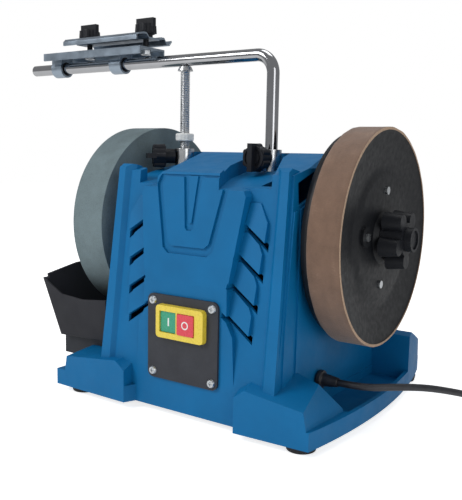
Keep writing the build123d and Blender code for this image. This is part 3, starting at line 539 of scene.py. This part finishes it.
class SHARPENER_OT_thread(bpy.types.Operator):
    """Cut the thread on the height adjusting leg and knurl its nut"""

    bl_idname = "sharpener.thread"
    bl_label = "Adjusting thread and nut"

    def execute(self, context):
        sizes = context.scene.sharpener_sizes
        low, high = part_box("threaded_rod")
        nut_low, nut_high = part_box("adjusting_nut")
        axis = (nut_low + nut_high) / 2
        top = high.z - COLLAR_H
        count = int((top - low.z) / sizes.thread_pitch * ROWS_PER_THREAD)
        rows = [self.ring(axis, 0.5 * MM, low.z, LEG_AROUND)]
        for k in range(count + 1):
            z = low.z + (top - low.z) * k / count
            rows.append(self.thread_row(axis, z, low.z, sizes))
        for r, z in ((6.0, top), (8.0, top + 0.4 * MM), (7.4, high.z - 3.0 * MM), (6.0, high.z - 0.2 * MM),
                     (0.5, high.z - 0.1 * MM)):
            rows.append(self.ring(axis, r * MM, z, LEG_AROUND))
        mesh = lofted("threaded_leg", rows, False, 30)
        new_piece("threaded_leg", mesh, "support", "rod_zinc", "threaded_rod")
        outer = (nut_high.x - nut_low.x) / 2
        bore = LEG_R + 0.05 * MM
        fine = sizes.knurls * 4
        profile = [(bore, nut_low.z), (outer - 1.0 * MM, nut_low.z), (outer, nut_low.z + 0.9 * MM),
                   (outer, nut_high.z - 0.9 * MM), (outer - 1.0 * MM, nut_high.z), (bore, nut_high.z)]
        rows = []
        for r, z in profile:
            row = []
            for i in range(fine):
                angle = FULL_TURN * i / fine
                dip = KNURL_DIP * (i % 4 in (0, 1)) if r == outer else 0.0
                row.append((axis.x + (r - dip) * math.cos(angle), axis.y + (r - dip) * math.sin(angle), z))
            rows.append(row)
        nut = lofted("knurled_nut", rows, True, 30)
        new_piece("knurled_nut", nut, "height_nut", "nut_white", "adjusting_nut")
        return {"FINISHED"}

    def thread_row(self, axis, z, start, sizes):
        """One ring of the thread: its depth follows the helix round the leg."""
        row = []
        for i in range(LEG_AROUND):
            angle = FULL_TURN * i / LEG_AROUND
            phase = ((z - start) / sizes.thread_pitch - i / LEG_AROUND) % 1.0
            r = LEG_R - sizes.thread_depth * abs(2 * phase - 1)
            row.append((axis.x + r * math.cos(angle), axis.y + r * math.sin(angle), z))
        return row

    def ring(self, axis, radius, z, count):
        """Evenly spaced points on a level circle round the leg."""
        angles = [FULL_TURN * i / count for i in range(count)]
        return [(axis.x + radius * math.cos(a), axis.y + radius * math.sin(a), z) for a in angles]


class SHARPENER_OT_switch_marks(bpy.types.Operator):
    """Inlay the plain on and off marks in the two keys"""

    bl_idname = "sharpener.switch_marks"
    bl_label = "Switch marks"

    def execute(self, context):
        for name, node, body, draw in (("start_mark", "green_button", "start_button", self.bar),
                                       ("stop_mark", "red_button", "stop_button", self.circle)):
            low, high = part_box(node)
            centre = (low + high) / 2
            bm = bmesh.new()
            draw(bm, centre, low.y)
            mesh = bpy.data.meshes.new(name)
            bm.to_mesh(mesh)
            bm.free()
            new_piece(name, mesh, body, "symbol")
        return {"FINISHED"}

    def bar(self, bm, centre, face):
        """The upright stroke that stands for on."""
        made = bmesh.ops.create_cube(bm, size=1.0)
        bmesh.ops.scale(bm, verts=made["verts"], vec=(1.6 * MM, MARK_PROUD * 2, 7.5 * MM))
        bmesh.ops.translate(bm, verts=made["verts"], vec=(centre.x, face + 0.02 * MM, centre.z))
        bmesh.ops.bevel(bm, geom=bm.edges[:], offset=0.12 * MM, segments=2, affect="EDGES")

    def circle(self, bm, centre, face):
        """The ring that stands for off."""
        inner, outer = 2.6 * MM, 3.7 * MM
        rows = []
        for r, y in ((inner, face + MARK_PROUD), (inner, face - MARK_PROUD), (outer, face - MARK_PROUD),
                     (outer, face + MARK_PROUD)):
            angles = [FULL_TURN * i / MARK_AROUND for i in range(MARK_AROUND)]
            rows.append([bm.verts.new((centre.x + r * math.cos(a), y, centre.z + r * math.sin(a)))
                         for a in angles])
        for near, far in zip(rows, rows[1:] + rows[:1]):
            for i in range(MARK_AROUND):
                j = (i + 1) % MARK_AROUND
                bm.faces.new((near[i], near[j], far[j], far[i]))
        bmesh.ops.recalc_face_normals(bm, faces=bm.faces)


class SHARPENER_OT_mains_lead(bpy.types.Operator):
    """Lay the mains lead from its gland to the put-away coil and its plug"""

    bl_idname = "sharpener.mains_lead"
    bl_label = "Mains lead"

    def execute(self, context):
        diameter = context.scene.sharpener_sizes.lead
        points = [Vector(p) * MM for p in LEAD_TO_COIL]
        points += self.coil()
        points += [Vector(p) * MM for p in LEAD_TO_PLUG]
        curve = bpy.data.curves.new("mains_lead", "CURVE")
        curve.dimensions = "3D"
        curve.bevel_depth = diameter / 2
        curve.bevel_resolution = 6
        curve.use_fill_caps = True
        spline = curve.splines.new("NURBS")
        spline.points.add(len(points) - 1)
        for place, point in zip(spline.points, points):
            place.co = (*point, 1.0)
        spline.order_u = 3
        spline.use_endpoint_u = True
        spline.resolution_u = 8
        lead = new_piece("mains_lead", curve, "root", "cord_black", "cord_lead", "cord_coil", "cord_tail")
        return {"FINISHED"}

    def coil(self):
        """Points of the put-away turns: inwards on the lower layer, then outwards on the upper one."""
        inward = COIL_TURNS * COIL_STEPS
        climb = COIL_STEPS // 4
        outward = COIL_TURNS * COIL_STEPS + COIL_STEPS // 4
        points = []
        for i in range(1, inward + climb + outward + 1):
            angle = math.pi - FULL_TURN * i / COIL_STEPS
            if i <= inward:
                radius = COIL_R - COIL_PITCH * i / COIL_STEPS
                height = COIL_LOW
            elif i <= inward + climb:
                radius = COIL_R - COIL_PITCH * COIL_TURNS
                height = COIL_LOW + (COIL_HIGH - COIL_LOW) * (i - inward) / climb
            else:
                radius = COIL_R - COIL_PITCH * COIL_TURNS + COIL_PITCH * (i - inward - climb) / COIL_STEPS
                height = COIL_HIGH
            across = COIL_MIDDLE.x + radius * math.cos(angle)
            along = COIL_MIDDLE.y + radius * math.sin(angle)
            points.append(Vector((across, along, height)))
        return points


class SHARPENER_OT_studio(bpy.types.Operator):
    """Set out the pale floor, the soft lights and the camera"""

    bl_idname = "sharpener.studio"
    bl_label = "Studio"

    def execute(self, context):
        scene = context.scene
        scene.view_settings.view_transform = "Standard"
        self.floor()
        self.world(scene)
        self.lights()
        self.camera(scene)
        return {"FINISHED"}

    def floor(self):
        """A matt paper sweep, brighter to the camera than it is to the object."""
        bm = bmesh.new()
        bmesh.ops.create_grid(bm, x_segments=8, y_segments=8, size=4.0)
        mesh = bpy.data.meshes.new("paper_floor")
        bm.to_mesh(mesh)
        bm.free()
        floor = bpy.data.objects.new("paper_floor", mesh)
        bpy.context.scene.collection.objects.link(floor)
        colour = linear("#F4F4F3")
        material, tree, shader = plain("matt_paper", colour, 0.9, Emission_Color=(1.0, 1.0, 1.0, 1.0))
        tones(tree, shader, speckle(tree, 300 * MM), [(0.3, shade(colour, 0.985)), (0.7, colour)])
        path = add(tree, "ShaderNodeLightPath")
        glow = add(tree, "ShaderNodeMapRange", {"Value": path.outputs["Is Camera Ray"], "To Min": 0.18,
                                                "To Max": 0.72})
        tree.links.new(glow.outputs[0], shader.inputs["Emission Strength"])
        mesh.materials.append(material)

    def world(self, scene):
        """Dim soft surroundings for the object, plain white behind it."""
        world = bpy.data.worlds.new("studio")
        world.use_nodes = True
        tree = world.node_tree
        around = tree.nodes["Background"]
        around.inputs["Color"].default_value = (*linear("#F7F8FA"), 1.0)
        around.inputs["Strength"].default_value = 0.36
        behind = add(tree, "ShaderNodeBackground", {"Color": (1.0, 1.0, 1.0, 1.0), "Strength": 1.0})
        path = add(tree, "ShaderNodeLightPath")
        mix = add(tree, "ShaderNodeMixShader", {0: path.outputs["Is Camera Ray"], 1: around.outputs[0],
                                                2: behind.outputs[0]})
        tree.links.new(mix.outputs[0], tree.nodes["World Output"].inputs["Surface"])
        scene.world = world

    def lights(self):
        """Softboxes: a key high on the operator's left, a fill on the right, a strip behind."""
        aim = Vector((0.0, 0.0, 0.17))
        for name, place, size, power in (
            ("key", (-0.9, -1.5, 1.4), 0.9, 21.0),
            ("fill", (1.6, -0.9, 0.6), 0.9, 5.0),
            ("top", (0.1, 0.3, 1.8), 0.9, 8.0),
        ):
            data = bpy.data.lights.new(name, "AREA")
            data.size = size
            data.energy = power
            data.color = WHITE_LIGHT
            lamp = bpy.data.objects.new(name, data)
            bpy.context.scene.collection.objects.link(lamp)
            lamp.location = place
            lamp.rotation_mode = "QUATERNION"
            lamp.rotation_quaternion = (aim - Vector(place)).to_track_quat("-Z", "Y")

    def camera(self, scene):
        """Stands at the operator's right, a little above the axle."""
        turn, dip, roll = math.radians(33.99), math.radians(7.61), math.radians(1.09)
        data = bpy.data.cameras.new("camera")
        data.lens = 50.83
        data.sensor_width = 36.0
        camera = bpy.data.objects.new("camera", data)
        bpy.context.scene.collection.objects.link(camera)
        level = Matrix.Rotation(turn, 4, "Z") @ Matrix.Rotation(math.pi / 2 - dip, 4, "X")
        aim = level @ Matrix.Rotation(roll, 4, "Z")
        camera.matrix_world = Matrix.Translation((0.3894, -0.6088, 0.2415)) @ aim
        scene.camera = camera


class SHARPENER_PT_panel(bpy.types.Panel):
    """Lists the sharpener's sizes, colours and build steps"""

    bl_idname = "SHARPENER_PT_panel"
    bl_label = "Sharpener"
    bl_space_type = "VIEW_3D"
    bl_region_type = "UI"
    bl_category = "Sharpener"

    def draw(self, context):
        for group in (context.scene.sharpener_colours, context.scene.sharpener_sizes):
            box = self.layout.box()
            for name in group.__annotations__:
                box.prop(group, name)
        for step in STEPS:
            self.layout.operator(step.bl_idname)


STEPS = (
    SHARPENER_OT_finishes,
    SHARPENER_OT_honing_band,
    SHARPENER_OT_thread,
    SHARPENER_OT_switch_marks,
    SHARPENER_OT_mains_lead,
    SHARPENER_OT_studio,
)
CLASSES = (SharpenerColours, SharpenerSizes, *STEPS, SHARPENER_PT_panel)


def register():
    for cls in CLASSES:
        bpy.utils.register_class(cls)
    bpy.types.Scene.sharpener_colours = PointerProperty(type=SharpenerColours)
    bpy.types.Scene.sharpener_sizes = PointerProperty(type=SharpenerSizes)


def unregister():
    del bpy.types.Scene.sharpener_sizes
    del bpy.types.Scene.sharpener_colours
    for cls in reversed(CLASSES):
        bpy.utils.unregister_class(cls)


def main():
    """Builds everything on the loaded frame."""
    register()
    for step in STEPS:
        group, name = step.bl_idname.split(".")
        getattr(getattr(bpy.ops, group), name)()


if __name__ == "__main__":
    main()
